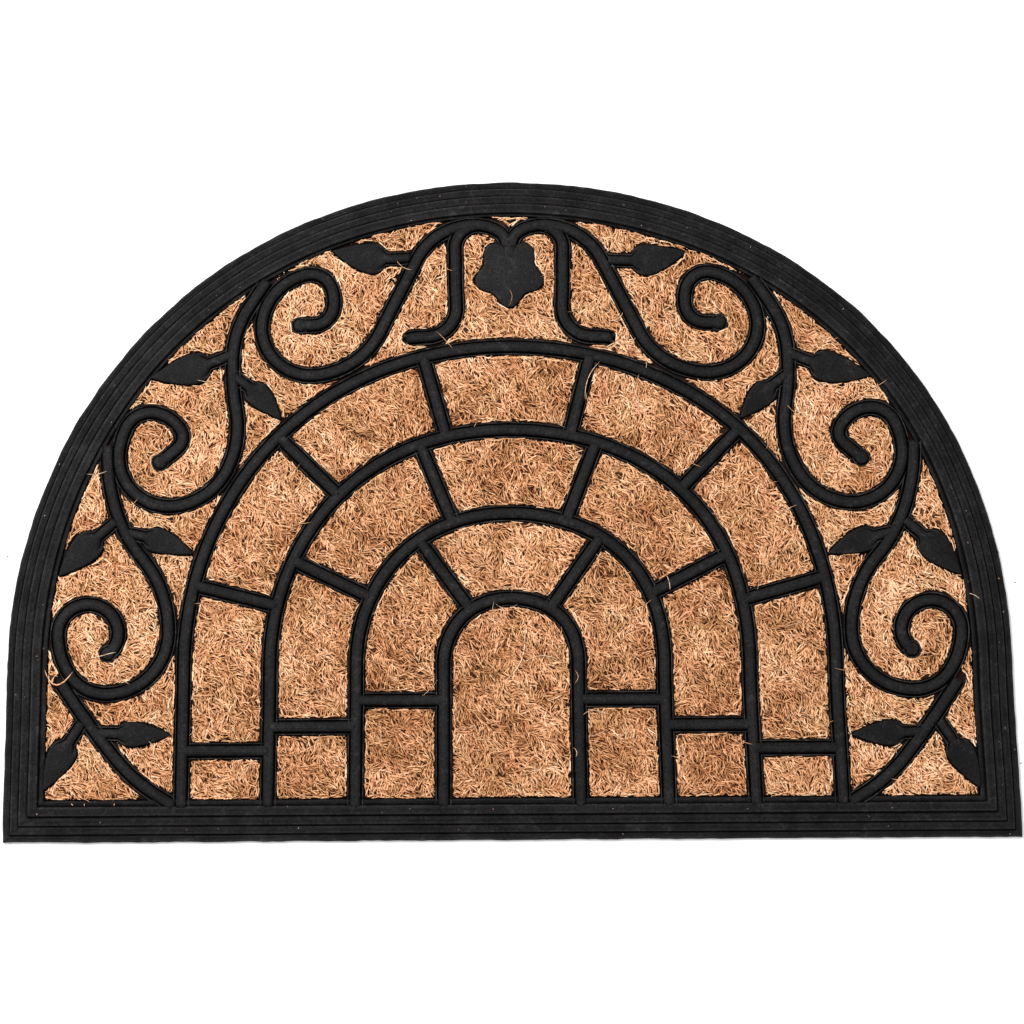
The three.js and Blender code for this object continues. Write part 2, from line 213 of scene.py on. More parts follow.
def grille_lines(step):
    """Every centre line of the grille by name, arches first."""
    lines = {}
    for index, radius in enumerate(ARCH_RADII):
        lines[f"arch_{index}"] = pressed(upright_arch(radius, ARCH_CENTRE, LIP_INSET - 1, step))
    for index, course in enumerate(COURSES):
        inner, outer = ARCH_RADII[course["inner"]], ARCH_RADII[course["outer"]]
        for side, hand in ((-1, "left"), (1, "right")):
            sill = straight((side * inner, course["sill"]), (side * outer, course["sill"]), step)
            lines[f"sill_{index}_{hand}"] = pressed(sill)
            for spoke in course["spokes"]:
                angle = math.radians(spoke - LEFT_SPOKE_DROP if side < 0 else spoke)
                along = straight((inner, 0), (outer, 0), step)[:, :1]
                ray = np.array([side * math.cos(angle), math.sin(angle)])
                lines[f"spoke_{index}_{spoke}_{hand}"] = pressed(along * ray + np.array([0, ARCH_CENTRE]))
    for name, scroll in SCROLLS.items():
        for side, hand in ((-1, "left"), (1, "right")):
            lines[f"{name}_{hand}"] = placed(scroll_line(scroll, step), side)
    return lines


def near_places(points, low, high, reach):
    """Numbers of the points in the box from low to high, grown by reach."""
    return np.flatnonzero(((points > low - reach) & (points < high + reach)).all(axis=1))


def distance_to(points, line, reach):
    """Distance from each point to a polyline, up to reach: the foot of the perpendicular, kept on each run.
    The line is taken a dozen runs at a time, each with the points in its own box."""
    found = np.full(len(points), float(reach))
    places = near_places(points, line.min(axis=0), line.max(axis=0), reach)
    close = points[places]
    best = found[places]
    for first in range(0, len(line) - 1, 12):
        part = line[first:first + 13]
        starts, runs = part[:-1], np.diff(part, axis=0)
        squares = np.maximum((runs ** 2).sum(axis=1), 1e-12)
        pick = near_places(close, part.min(axis=0), part.max(axis=0), reach)
        away = close[pick][:, None, :] - starts[None]
        share = np.clip((away * runs).sum(axis=2) / squares, 0.0, 1.0)
        gap = away - share[..., None] * runs
        best[pick] = np.minimum(best[pick], np.sqrt((gap ** 2).sum(axis=2).min(axis=1, initial=reach ** 2)))
    found[places] = best
    return found


def signed_distance(points, outline, reach):
    """Distance to a closed outline, counted negative inside it, by the even-odd rule."""
    closed = np.concatenate([outline, outline[:1]])
    distance = distance_to(points, closed, reach)
    places = near_places(points, closed.min(axis=0), closed.max(axis=0), 0.0)
    x, y = points[places, 0], points[places, 1]
    inside = np.zeros(len(places), bool)
    for (ax, ay), (bx, by) in zip(closed[:-1], closed[1:]):
        crosses = (ay > y) != (by > y)
        inside ^= crosses & (x < ax + (y - ay) * (bx - ax) / ((by - ay) or 1e-9))
    distance[places[inside]] *= -1
    return distance


LATTICE = 257


def drift(points, grain, seed):
    """Smooth noise from -1 to 1: random values on a square lattice of that grain, blended by 3t^2 - 2t^3.
    The lattice repeats after LATTICE squares."""
    place = points / grain
    cell = np.floor(place).astype(int)
    share = place - cell
    share = share * share * (3.0 - 2.0 * share)
    lattice = np.random.default_rng(seed).uniform(-1.0, 1.0, (LATTICE, LATTICE))

    def row(up):
        left, right = (lattice[(cell[..., 0] + i) % LATTICE, (cell[..., 1] + up) % LATTICE] for i in (0, 1))
        return left + share[..., 0] * (right - left)

    low, high = row(0), row(1)
    return low + share[..., 1] * (high - low)


def leaf_half_width(leaf, share):
    """Half width at a share of the length: an even stalk, then sin(pi sqrt b)^0.8 at share b of the blade."""
    blade = np.clip((share - STALK_SHARE) / (1 - STALK_SHARE), 0.0, 1.0)
    swell = np.abs(np.sin(np.pi * np.sqrt(blade))) ** 0.8 * leaf["width"] / 2
    return np.where(share <= STALK_SHARE, STALK_HALF, np.maximum(STALK_HALF * (1 - blade), swell))


def leaf_points(leaf, side, share, across):
    """Places on a leaf: share runs from root to tip, across from -1 to 1 over its width there."""
    root, tip = np.array(leaf["root"], float), np.array(leaf["tip"], float)
    along = (tip - root) / np.linalg.norm(tip - root)
    normal = np.array([-along[1], along[0]])
    offset = leaf["bow"] * np.sin(np.pi * share) + across * leaf_half_width(leaf, share)
    drop = np.array([0.0, RIGHT_LEAF_DROP if side > 0 else 0.0])
    return placed(root + share[..., None] * (tip - root) + offset[..., None] * normal - drop, side)


def leaf_outline(leaf, side):
    """Closed outline of a leaf, up one edge and down the other."""
    share = np.linspace(0.0, 1.0, 25)
    edges = [leaf_points(leaf, side, share, np.full(len(share), hand)) for hand in (-1.0, 1.0)]
    return np.concatenate([edges[0], edges[1][-2::-1]])


def flower_radius(angle):
    """Five lobes: the radius swings between valley and lobe with the cosine of five times the angle."""
    swing = (FLOWER_RADIUS - FLOWER_VALLEY) / 2
    return FLOWER_VALLEY + swing - swing * np.cos(FLOWER_LOBES * (angle - np.pi / 2))


def flower_outline():
    """Closed outline of the flower, at even angles."""
    angle = np.linspace(0.0, 2 * np.pi, 90, endpoint=False)
    ring = np.stack([np.cos(angle), np.sin(angle)], axis=1)
    return np.array(FLOWER_CENTRE) + flower_radius(angle)[:, None] * ring


def mat_outline(inset, step, rise=0.0):
    """Closed outline of the mat drawn in by inset, its arch raised by rise. It has the same number of points
    for every inset."""
    centre = SPRINGING + rise
    sides = int(SPRINGING / step)
    turns = int(np.pi * HALF_WIDTH / step)
    base = int(WIDTH / step)
    radius = HALF_WIDTH - inset
    angle = np.linspace(np.pi, 0.0, turns + 1)
    left = np.stack([np.full(sides, -radius), np.linspace(inset, centre, sides, endpoint=False)], axis=1)
    half_round = np.stack([radius * np.cos(angle), centre + radius * np.sin(angle)], axis=1)
    right = left[::-1] * np.array([-1.0, 1.0])
    bottom = np.stack([np.linspace(radius, -radius, base + 1)[1:-1], np.full(base - 1, inset)], axis=1)
    return pressed(np.concatenate([left, half_round, right, bottom]))


def paired(first, second):
    """Two arrays broadcast together as the two columns of places in a plane."""
    return np.stack(np.broadcast_arrays(first, second), axis=-1)


def raised(plan, height):
    """Places in plan and their heights, as one list of points."""
    return np.concatenate([plan, height[..., None]], axis=-1).reshape(-1, 3)


def length_along(line):
    """Length of a line from its start to each of its points."""
    return np.concatenate([[0.0], np.cumsum(np.linalg.norm(np.diff(line, axis=0), axis=1))])


def in_metres(points):
    """From pattern millimetres to the frame: metres, with the origin under the middle of the mat."""
    return (points - np.array([0.0, HEIGHT / 2, 0.0])) * MM


def finished(name, material, points, faces, uv=None, **values):
    """One mesh of points in millimetres and faces, each face array having one row of corners per face. The
    values are its attributes, one number a point."""
    loops = np.concatenate([rows.ravel() for rows in faces]).astype(np.int32)
    sizes = np.concatenate([np.full(len(rows), rows.shape[1]) for rows in faces])
    mesh = bpy.data.meshes.new(name)
    mesh.vertices.add(len(points))
    mesh.vertices.foreach_set("co", in_metres(points).astype(np.float32).ravel())
    mesh.loops.add(len(loops))
    mesh.loops.foreach_set("vertex_index", loops)
    mesh.polygons.add(len(sizes))
    mesh.polygons.foreach_set("loop_start", (np.cumsum(sizes) - sizes).astype(np.int32))
    mesh.polygons.foreach_set("use_smooth", np.ones(len(sizes), bool))
    mesh.update(calc_edges=True)
    if uv is not None:
        layer = mesh.uv_layers.new(name="UVMap")
        layer.uv.foreach_set("vector", uv[loops].astype(np.float32).ravel())
    for key, value in values.items():
        attribute = mesh.attributes.new(key, "FLOAT", "POINT")
        attribute.data.foreach_set("value", value.astype(np.float32))
    mesh.materials.append(material)
    made = bpy.data.objects.new(name, mesh)
    bpy.context.scene.collection.objects.link(made)
    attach(made, "root")
    return made


def sweep_faces(rows, columns, round_again=False):
    """Quads between neighbouring rings of a sweep, and a cap on each end unless it goes round again."""
    ring = np.arange(columns)
    here = np.arange(rows if round_again else rows - 1)[:, None]
    there = (here + 1) % rows
    following = (ring + 1) % columns
    here, there = here * columns, there * columns
    quads = np.stack([here + ring, here + following, there + following, there + ring], axis=2).reshape(-1, 4)
    if round_again:
        return [quads]
    return [quads, np.stack([ring[::-1], ring + (rows - 1) * columns])]


def joined(parts):
    """Closed parts as one piece. Each gives its points, its faces, which are counted on from the points
    before them, and any columns that go with the points."""
    points, faces, *columns = zip(*parts)
    first = np.cumsum([0] + [len(made) for made in points])
    faces = [rows + start for part, start in zip(faces, first) for rows in part]
    return np.concatenate(points), faces, *(np.concatenate(column) for column in columns)


def frame_of(line):
    """Unit normals to the left of a line, square to the run between each point's neighbours."""
    run = np.gradient(line, axis=0)
    run /= np.linalg.norm(run, axis=1, keepdims=True)
    return np.stack([-run[:, 1], run[:, 0]], axis=1)


def skin(section, place):
    """Height and painted light and shade of a skin, read between the rows of its section, which rise in
    place.
    """
    return [np.interp(place, section[:, 0], section[:, column]) for column in (1, 2)]


def rib_skin(distance):
    """The rib's skin at a distance from its centre line."""
    return skin(RIB_SECTION[::-1], distance)


def paint(name):
    """A material whose tree has a Principled shader on the output, and a Texture Coordinate node to read."""
    material = bpy.data.materials.new(name)
    material.use_nodes = True
    tree = material.node_tree
    tree.nodes.clear()
    output = tree.nodes.new("ShaderNodeOutputMaterial")
    shader = tree.nodes.new("ShaderNodeBsdfPrincipled")
    tree.links.new(shader.outputs["BSDF"], output.inputs["Surface"])
    return material, tree, shader, tree.nodes.new("ShaderNodeTexCoord").outputs


def attribute(tree, name):
    """The outputs of a node that reads an attribute of the mesh."""
    made = tree.nodes.new("ShaderNodeAttribute")
    made.attribute_name = name
    return made.outputs


def noise(tree, source, scale, detail, stretch=(1.0, 1.0, 1.0)):
    """Noise read at the source's coordinates, stretched by a Mapping node."""
    mapping = tree.nodes.new("ShaderNodeMapping")
    mapping.inputs["Scale"].default_value = stretch
    tree.links.new(source, mapping.inputs["Vector"])
    made = tree.nodes.new("ShaderNodeTexNoise")
    made.inputs["Scale"].default_value = scale
    made.inputs["Detail"].default_value = detail
    tree.links.new(mapping.outputs["Vector"], made.inputs["Vector"])
    return made.outputs["Fac"]


def ramp(tree, source, stops):
    """Colours by value: stops are (value, red, green, blue)."""
    made = tree.nodes.new("ShaderNodeValToRGB")
    elements = made.color_ramp.elements
    while len(elements) < len(stops):
        elements.new(0.5)
    for element, (value, *colour) in zip(elements, stops):
        element.position = value
        element.color = (*colour, 1.0)
    tree.links.new(source, made.inputs["Fac"])
    return made.outputs["Color"]


def remap(tree, source, low, high, to_low, to_high):
    """A number between low and high carried to the same share between to_low and to_high."""
    made = tree.nodes.new("ShaderNodeMapRange")
    for key, value in (("From Min", low), ("From Max", high), ("To Min", to_low), ("To Max", to_high)):
        made.inputs[key].default_value = value
    tree.links.new(source, made.inputs["Value"])
    return made.outputs["Result"]


def mixed(tree, mode, colours):
    """The first colour with each of the others added or multiplied in turn, at full strength."""
    whole, *others = colours
    factor, first, second, result = 0, 6, 7, 2
    for other in others:
        made = tree.nodes.new("ShaderNodeMix")
        made.data_type = "RGBA"
        made.blend_type = mode
        made.inputs[factor].default_value = 1.0
        tree.links.new(whole, made.inputs[first])
        tree.links.new(other, made.inputs[second])
        whole = made.outputs[result]
    return whole


def bumped(tree, shader, source, strength, distance, before=None):
    """A bump of the source on the shader's normal, over the bump before it."""
    made = tree.nodes.new("ShaderNodeBump")
    made.inputs["Strength"].default_value = strength
    made.inputs["Distance"].default_value = distance
    tree.links.new(source, made.inputs["Height"])
    if before is not None:
        tree.links.new(before, made.inputs["Normal"])
    tree.links.new(made.outputs["Normal"], shader.inputs["Normal"])
    return made.outputs["Normal"]


def rubber_paint(name, lined):
    """Moulded rubber: charcoal, clouded and scuffed. A per-point attribute multiplies its colour and sets its
    specular level: painted shade in the grooves and painted highlights on the rims, with a little tone; lined
    adds fine mould lines along the piece's own UV."""
    material, tree, shader, where = paint(name)
    light = attribute(tree, "lightness")
    place = where["Object"]
    cloud = noise(tree, place, 70.0, 5.0)
    grain = noise(tree, place, 1300.0, 3.0)
    scuff = noise(tree, place, 210.0, 6.0)
    speck = noise(tree, place, 820.0, 2.0)
    base = ramp(tree, cloud, ((0.30, 0.0048, 0.0044, 0.0046), (0.72, 0.0098, 0.0090, 0.0092)))
    worn = ramp(tree, scuff, ((0.56, 0.0, 0.0, 0.0), (0.78, 0.013, 0.012, 0.012)))
    specked = ramp(tree, speck, ((0.32, 0.45, 0.45, 0.45), (0.68, 1.6, 1.6, 1.6)))
    scuffed = mixed(tree, "ADD", [base, worn])
    # The per-point attribute paints shade in the grooves and highlights on the rims into the colour
    colour = mixed(tree, "MULTIPLY", [scuffed, specked, light["Color"]])
    # The specular level follows the painted shade too: a painted reflection, dimmed in grooves and raised on
    # rims
    shaded_gloss = remap(tree, light["Fac"], 0.0, 1.5, 0.0, 0.13)
    tree.links.new(colour, shader.inputs["Base Color"])
    tree.links.new(remap(tree, scuff, 0.3, 0.7, 0.42, 0.62), shader.inputs["Roughness"])
    tree.links.new(shaded_gloss, shader.inputs["Specular IOR Level"])
    normal = bumped(tree, shader, grain, 0.9, 0.00022)
    if lined:
        lines = noise(tree, where["UV"], 1300.0, 3.0, (0.012, 1.0, 1.0))
        bumped(tree, shader, lines, 0.9, 0.0006, normal)
    return material


def coir_paint():
    """Coir: a tone attribute picks the strand's brown, clouds of olive and red brown lie over the cloth, and
    small flecks of painted shadow darken it, standing in for the shade where strands part."""
    material, tree, shader, where = paint("coir_strand")
    place = where["Object"]
    strand = ramp(tree, attribute(tree, "tone")["Fac"], (
        (0.00, 0.010, 0.003, 0.001), (0.22, 0.170, 0.052, 0.015), (0.50, 0.640, 0.315, 0.152),
        (0.75, 0.920, 0.560, 0.345), (1.00, 1.000, 0.830, 0.640),
    ))
    cloud = noise(tree, place, 75.0, 3.0)
    streak = noise(tree, place, 90.0, 3.0, (1.0, 0.7, 1.0))
    fleck = noise(tree, place, 640.0, 2.0)
    grain = noise(tree, place, 2600.0, 2.0)
    olive = ramp(tree, cloud, ((0.36, 0.86, 0.88, 0.82), (0.58, 1.0, 1.0, 1.0)))
    rust = ramp(tree, streak, ((0.34, 0.92, 0.83, 0.76), (0.52, 1.0, 0.98, 0.94)))
    # Painted shadow: flecks of noise darken the coir like the shade between parted strands
    shadow = ramp(tree, fleck, ((0.36, 0.50, 0.37, 0.25), (0.50, 1.0, 1.0, 1.0)))
    colour = mixed(tree, "MULTIPLY", [strand, olive, rust, shadow])
    tree.links.new(colour, shader.inputs["Base Color"])
    shader.inputs["Roughness"].default_value = 0.7
    shader.inputs["Specular IOR Level"].default_value = 0.12
    bumped(tree, shader, grain, 0.3, 0.0001)
    return material


RUBBER_LINED = rubber_paint("rubber_lined", True)
RUBBER_PLAIN = rubber_paint("rubber_plain", False)
COIR = coir_paint()

LINE_STEP = 2.0
LINES = grille_lines(LINE_STEP)
OUTLINES = [leaf_outline(leaf, side) for leaf in LEAVES for side in (-1, 1)] + [flower_outline()]


# How far off a rib or an ornament is still measured, and how far short of its end a flower stem is
NEAR = 8.0
STEM_SHORT = FLANGE_HALF - 0.6


def nearest_rib(points):
    """Distance from each point to the nearest centre line of the grille, up to NEAR. The free feet of the
    flower stems are measured from a little short of their ends, which rounds them off."""
    found = np.full(len(points), NEAR)
    for name, line in LINES.items():
        if name.startswith("flower_stem"):
            line = line[np.linalg.norm(line - line[-1], axis=1) > STEM_SHORT]
        found = np.minimum(found, distance_to(points, line, NEAR))
    return found


# Painted shade on the foot of every rib, leaf and the flower, where they meet the coir
FOOT_PAINTED_SHADE = 0.2
BEAD_LEVEL = 7.0
UV_LANE = 40


def make_grille():
    """The rib section carried along every centre line. Where two ribs meet, each skin keeps the lower of its
    own height and that of the nearest rib, so rims mitre and beads run into one another."""
    offsets = np.concatenate([RIB_SECTION[:, 0], -RIB_SECTION[-2::-1, 0]])
    top = len(offsets)
    offsets = np.concatenate([offsets, [-FLANGE_HALF, FLANGE_HALF]])
    at_rim = smooth_share(np.abs(offsets), 3.9, 4.5) * np.sign(offsets)
    parts = []
    for number, line in enumerate(LINES.values()):
        side = frame_of(line)
        along = length_along(line)[:, None]
        bank = np.where(offsets > 0, 0.0, 500.0) + 37.0 * number
        place = paired(along, bank)
        ragged = (0.30 * drift(place, 3.1, 11) + 0.10 * drift(place, 11.0, 13) - 0.1) * at_rim
        plan = line[:, None, :] + (offsets + ragged)[..., None] * side[:, None, :]
        nearest = nearest_rib(plan[:, :top].reshape(-1, 2)).reshape(len(line), top)
        own = np.broadcast_to(np.abs(offsets[:top]), nearest.shape)
        lower = rib_skin(nearest)[0] < rib_skin(own)[0]
        level, shade = rib_skin(np.where(lower, nearest, own))
        height = np.full(plan.shape[:2], RIB_FOOT)
        height[:, :top] = level - 0.02 * (number % 7)
        height[:, :top] += 0.16 * drift(plan[:, :top], 5.0, 12) * (level < BEAD_LEVEL)
        height[:, :top] += 0.05 * drift(plan[:, :top], 7.0, 14) * (level >= BEAD_LEVEL)
        height[:, :top] = np.where(nearest > FLANGE_HALF + 0.9, RIB_FOOT + 0.1, height[:, :top])
        lightness = np.full(plan.shape[:2], FOOT_PAINTED_SHADE)
        # The section's painted shade and highlight, with noise breaking up the rim's painted highlight
        lightness[:, :top] = shade * (1 + 0.45 * drift(plan[:, :top], 2.6, 15) * (np.abs(at_rim[:top]) > 0))
        uv = paired(along, offsets + UV_LANE * number).reshape(-1, 2) * MM
        parts.append((raised(plan, height), sweep_faces(*height.shape), uv, lightness.ravel()))
    points, faces, uv, light = joined(parts)
    return finished("grille_ribs", RUBBER_LINED, points, faces, uv, lightness=light)


def dome(centre, radius_at, heights, foot, around):
    """A closed cap: rings at shares of the radius, the outer one dropped to the foot, and a point on top."""
    angle = np.linspace(0.0, 2 * np.pi, around, endpoint=False)
    ray = np.stack([np.cos(angle), np.sin(angle)], axis=1)
    shares = np.concatenate([[1.0], heights[:, 0]])
    levels = np.concatenate([[foot], heights[:, 1]])
    plan = np.array(centre) + (shares[:, None] * radius_at(angle))[..., None] * ray
    rings = raised(plan, np.broadcast_to(levels[:, None], plan.shape[:2]))
    points = np.concatenate([rings, [[*centre, levels[-1]]]])
    sides, caps = sweep_faces(len(shares), around)
    ring = np.arange(around)
    last = (len(shares) - 1) * around
    top = np.stack([last + ring, last + (ring + 1) % around, np.full(around, len(points) - 1)], axis=1)
    return points, [sides, caps[:1], top]


def make_knobs():
    """Round ends of the scrolls: the rib's section turned about the end of the line, its bead swollen."""
    share = np.array([1.0, 0.96, 0.88, 0.79, 0.72, 0.68, 0.60, 0.40, 0.20])
    height = np.array([5.7, 6.5, 6.5, 5.2, 5.3, 7.1, 7.7, 7.93, 7.98])
    # Painted shade at the foot and in the groove, a painted highlight on the rim, as on the ribs
    shade = np.array([0.4, 0.5, 1.7, 1.5, 0.3, 0.3, 0.9, 1.1, 1.0, 1.0])
    around = 28
    heights = np.stack([share, height], axis=1)
    ends = [LINES[f"{name}_{hand}"][-1] for name, scroll in SCROLLS.items() if scroll["knob"]
            for hand in ("left", "right")]
    points, faces = joined([
        dome(end, lambda angle: np.full(len(angle), KNOB_RADIUS), heights, RIB_FOOT, around) for end in ends
    ])
    light = np.tile(np.append(np.repeat(shade, around), 1.0), len(ends))
    return finished("scroll_knobs", RUBBER_PLAIN, points, faces, lightness=light)


def make_leaves():
    """Each leaf is carried from its stalk to its tip: the rib's section on the stalk turns into a low dome on
    the blade, whose height depends on the distance in from the edge."""
    spread = np.concatenate([RIB_SECTION[:, 0], -RIB_SECTION[-2::-1, 0]]) / FLANGE_HALF
    top = len(spread)
    across = np.concatenate([spread, [-1.0, 1.0]])
    share = np.concatenate([np.linspace(0.0, 0.96, 36), [0.98, 0.992, 0.999]])
    shares = np.broadcast_to(share[:, None], (len(share), len(across)))
    turn = smooth_share(share, 0.24, 0.44)[:, None]
    stalk, stalk_shade = rib_skin(np.abs(spread) * FLANGE_HALF)
    stalk_drop = 0.15
    parts = []
    for leaf in LEAVES:
        for side in (-1, 1):
            hand = across if side < 0 else -across
            plan = leaf_points(leaf, side, shares, hand[None])
            half = leaf_half_width(leaf, share)[:, None]
            blade, blade_shade = skin(LEAF_SECTION, (1 - np.abs(spread)) * half)
            height = np.full(plan.shape[:2], RIB_FOOT)
            height[:, :top] = (stalk[None] - stalk_drop) * (1 - turn) + blade * turn
            height[:, :top] += 0.10 * drift(plan[:, :top], 5.0, 21)
            lightness = np.full(plan.shape[:2], FOOT_PAINTED_SHADE)
            lightness[:, :top] = stalk_shade[None] * (1 - turn) + blade_shade * turn
            parts.append((raised(plan, height), sweep_faces(*height.shape), lightness.ravel()))
    points, faces, light = joined(parts)
    return finished("leaves", RUBBER_PLAIN, points, faces, lightness=light)


def make_flower():
    """Five-lobed flower: rings at shares of the lobed radius, their heights read from the leaf's section."""
    share = np.array([1.0, 0.985, 0.965, 0.93, 0.86, 0.72, 0.55, 0.40, 0.25, 0.12])
    height, shade = skin(LEAF_SECTION, (1 - share) * FLOWER_RADIUS)
    around = 120
    points, faces = dome(FLOWER_CENTRE, flower_radius, np.stack([share, height], axis=1), RIB_FOOT, around)
    points[:, 2] += (points[:, 2] > 7.0) * 0.14 * drift(points[:, :2], 5.0, 22)
    light = np.concatenate([np.repeat(np.concatenate([[FOOT_PAINTED_SHADE], shade]), around), [1.0]]) * 1.25
    return finished("crown_flower", RUBBER_PLAIN, points, faces, lightness=light)


def make_flower_stem():
    """The bead of the two crown scrolls runs on over the flower: a half-round ridge that narrows and sinks
    into the petals as a smooth step of its length."""
    line = straight((0.0, 361.0), (0.0, 347.0), 1.0)
    share = np.linspace(0.0, 1.0, len(line))[:, None]
    turn = np.linspace(np.pi, 0.0, 13)[None]
    reach = 3.3 - 1.5 * share
    over = 7.2 + (0.78 - 0.75 * smooth_share(share, 0.15, 1.0)) * np.sin(turn) ** 0.5
    plan = line[:, None, :] + (reach * np.cos(turn))[..., None] * np.array([-1.0, 0.0])
    plan = np.concatenate([plan, plan[:, [-1, 0]]], axis=1)
    height = np.concatenate([over, np.full((len(line), 2), 6.0)], axis=1)
    faces = sweep_faces(*height.shape)
    light = np.broadcast_to(1.0 + 0.2 * share, height.shape).ravel()
    return finished("flower_stem_bead", RUBBER_PLAIN, raised(plan, height), faces, lightness=light)


def make_border():
    """The terraced section carried round the mat's outline, which is drawn in by each point's inset. The
    outer edge wanders a little, as trimmed by hand, and the skins ripple along the mould."""
    step = 2.2
    insets = BORDER_SECTION[:, 0]
    rises = OPENING_RISE * np.clip((insets - LIP_INSET) / (BORDER_WIDTH - LIP_INSET), 0.0, 1.0)
    rings = np.stack([mat_outline(inset, step, rise) for inset, rise in zip(insets, rises)], axis=1)
    outer = rings[:, 0]
    away = outer - rings[:, -1]
    away /= np.linalg.norm(away, axis=1, keepdims=True)
    wander = 0.30 * drift(outer, 14.0, 31) + 0.2 * drift(outer, 4.4, 32) - 0.1
    fade = 1 - smooth_share(insets, 0.0, 4.0)
    ragged = 0.22 * drift(outer, 4.0, 35)[:, None] * smooth_share(insets, 22.0, 24.0)
    rings = rings + (wander[:, None] * fade + ragged)[..., None] * away[:, None]
    height = np.broadcast_to(BORDER_SECTION[:, 1], rings.shape[:2]).copy()
    ripple = 0.09 * drift(rings, 6.0, 33) + 0.06 * drift(rings, 2.4, 34)
    height += ripple * (BORDER_SECTION[:, 1] > 1.0)
    height = np.minimum(height, THICKNESS)
    # The section's painted shade at the risers and painted highlights on the crests, with a little noise
    light = BORDER_SECTION[:, 2] * (0.92 + 0.16 * drift(rings, 9.0, 36) + 0.14 * drift(rings, 2.5, 37))
    uv = paired(length_along(outer)[:, None], insets).reshape(-1, 2) * MM
    faces = sweep_faces(*height.shape, round_again=True)
    points = raised(rings, height)
    return finished("terraced_border", RUBBER_LINED, points, faces, uv, lightness=light.ravel())


# Raster of the room for coir: its step, and how far it reaches past the mat
ROOM_STEP = 0.75
ROOM_MARGIN = 10.0


def measured_room():
    """A raster of the room left for coir: distance to the nearest rubber, negative under it."""
    x = np.arange(-HALF_WIDTH - ROOM_MARGIN, HALF_WIDTH + ROOM_MARGIN, ROOM_STEP)
    y = np.arange(-ROOM_MARGIN, HEIGHT + ROOM_MARGIN, ROOM_STEP)
    places = np.stack(np.meshgrid(x, y, indexing="ij"), axis=2).reshape(-1, 2)
    room = nearest_rib(places) - FLANGE_HALF - CLEARANCE
    for outline in OUTLINES:
        room = np.minimum(room, signed_distance(places, outline, NEAR) - CLEARANCE)
    inner = mat_outline(BORDER_WIDTH + CLEARANCE, 4.0, OPENING_RISE)
    room = np.minimum(room, -signed_distance(places, inner, NEAR))
    return room.reshape(len(x), len(y))


ROOM = measured_room()


def room_at(points):
    """The room raster read between its points, weighting the four around each place."""
    place = (points + np.array([HALF_WIDTH + ROOM_MARGIN, ROOM_MARGIN])) / ROOM_STEP
    place = np.clip(place, 0.0, np.array(ROOM.shape) - 1.001)
    cell = place.astype(int)
    share = place - cell
    i, j = cell[..., 0], cell[..., 1]
    low = ROOM[i, j] * (1 - share[..., 0]) + ROOM[i + 1, j] * share[..., 0]
    high = ROOM[i, j + 1] * (1 - share[..., 0]) + ROOM[i + 1, j + 1] * share[..., 0]
    return low * (1 - share[..., 1]) + high * share[..., 1]


def along_edge(points):
    """Heading of the rubber's edge beside each place: square to the way in which the room grows fastest."""
    reach = 0.6
    grows = [room_at(points + way) - room_at(points - way) for way in reach * np.eye(2)]
    return np.arctan2(grows[1], grows[0]) + np.pi / 2


TUFT_WIDTH = 10.5
TUFT_LENGTH = 15.0
TUFT_WANDER = 1.6
UPRIGHT_SHARE = 0.55


def tufts(points):
    """The weave: columns of tufts a half step apart. Gives the swell from 0 to 1 and 1 where a tuft stands
    upright, 0 where the strands lie across between two of them."""
    bent = points + TUFT_WANDER * np.stack([drift(points, 13.0, 41), drift(points, 13.0, 42)], axis=-1)
    column = np.floor(bent[..., 0] / TUFT_WIDTH)
    down = bent[..., 1] / TUFT_LENGTH + 0.5 * (column % 2)
    swell = np.abs(np.sin(np.pi * bent[..., 0] / TUFT_WIDTH)) * np.abs(np.sin(2 * np.pi * down))
    upright = (down % 1.0) < UPRIGHT_SHARE
    return np.sqrt(swell), upright.astype(float)


PILE_LEVEL = 6.75


def pile_height(points):
    """Height of the pressed coir: a level, its tufts' swell, a slow drift, and a fall beside the rubber."""
    swell, upright = tufts(points)
    beside = 1 - smooth_share(room_at(points), -0.2, 2.4)
    return PILE_LEVEL + 0.35 * swell + 0.20 * upright + 0.25 * drift(points, 21.0, 43) - 0.25 * beside


# The cloth: its top under the ribs, its drop below the pile, and the waves woven into its underside
WEB_TOP = 4.0
CLOTH_DROP = 1.25
WEAVE_HEIGHT = 0.28
WEAVE_PITCH = 7.0


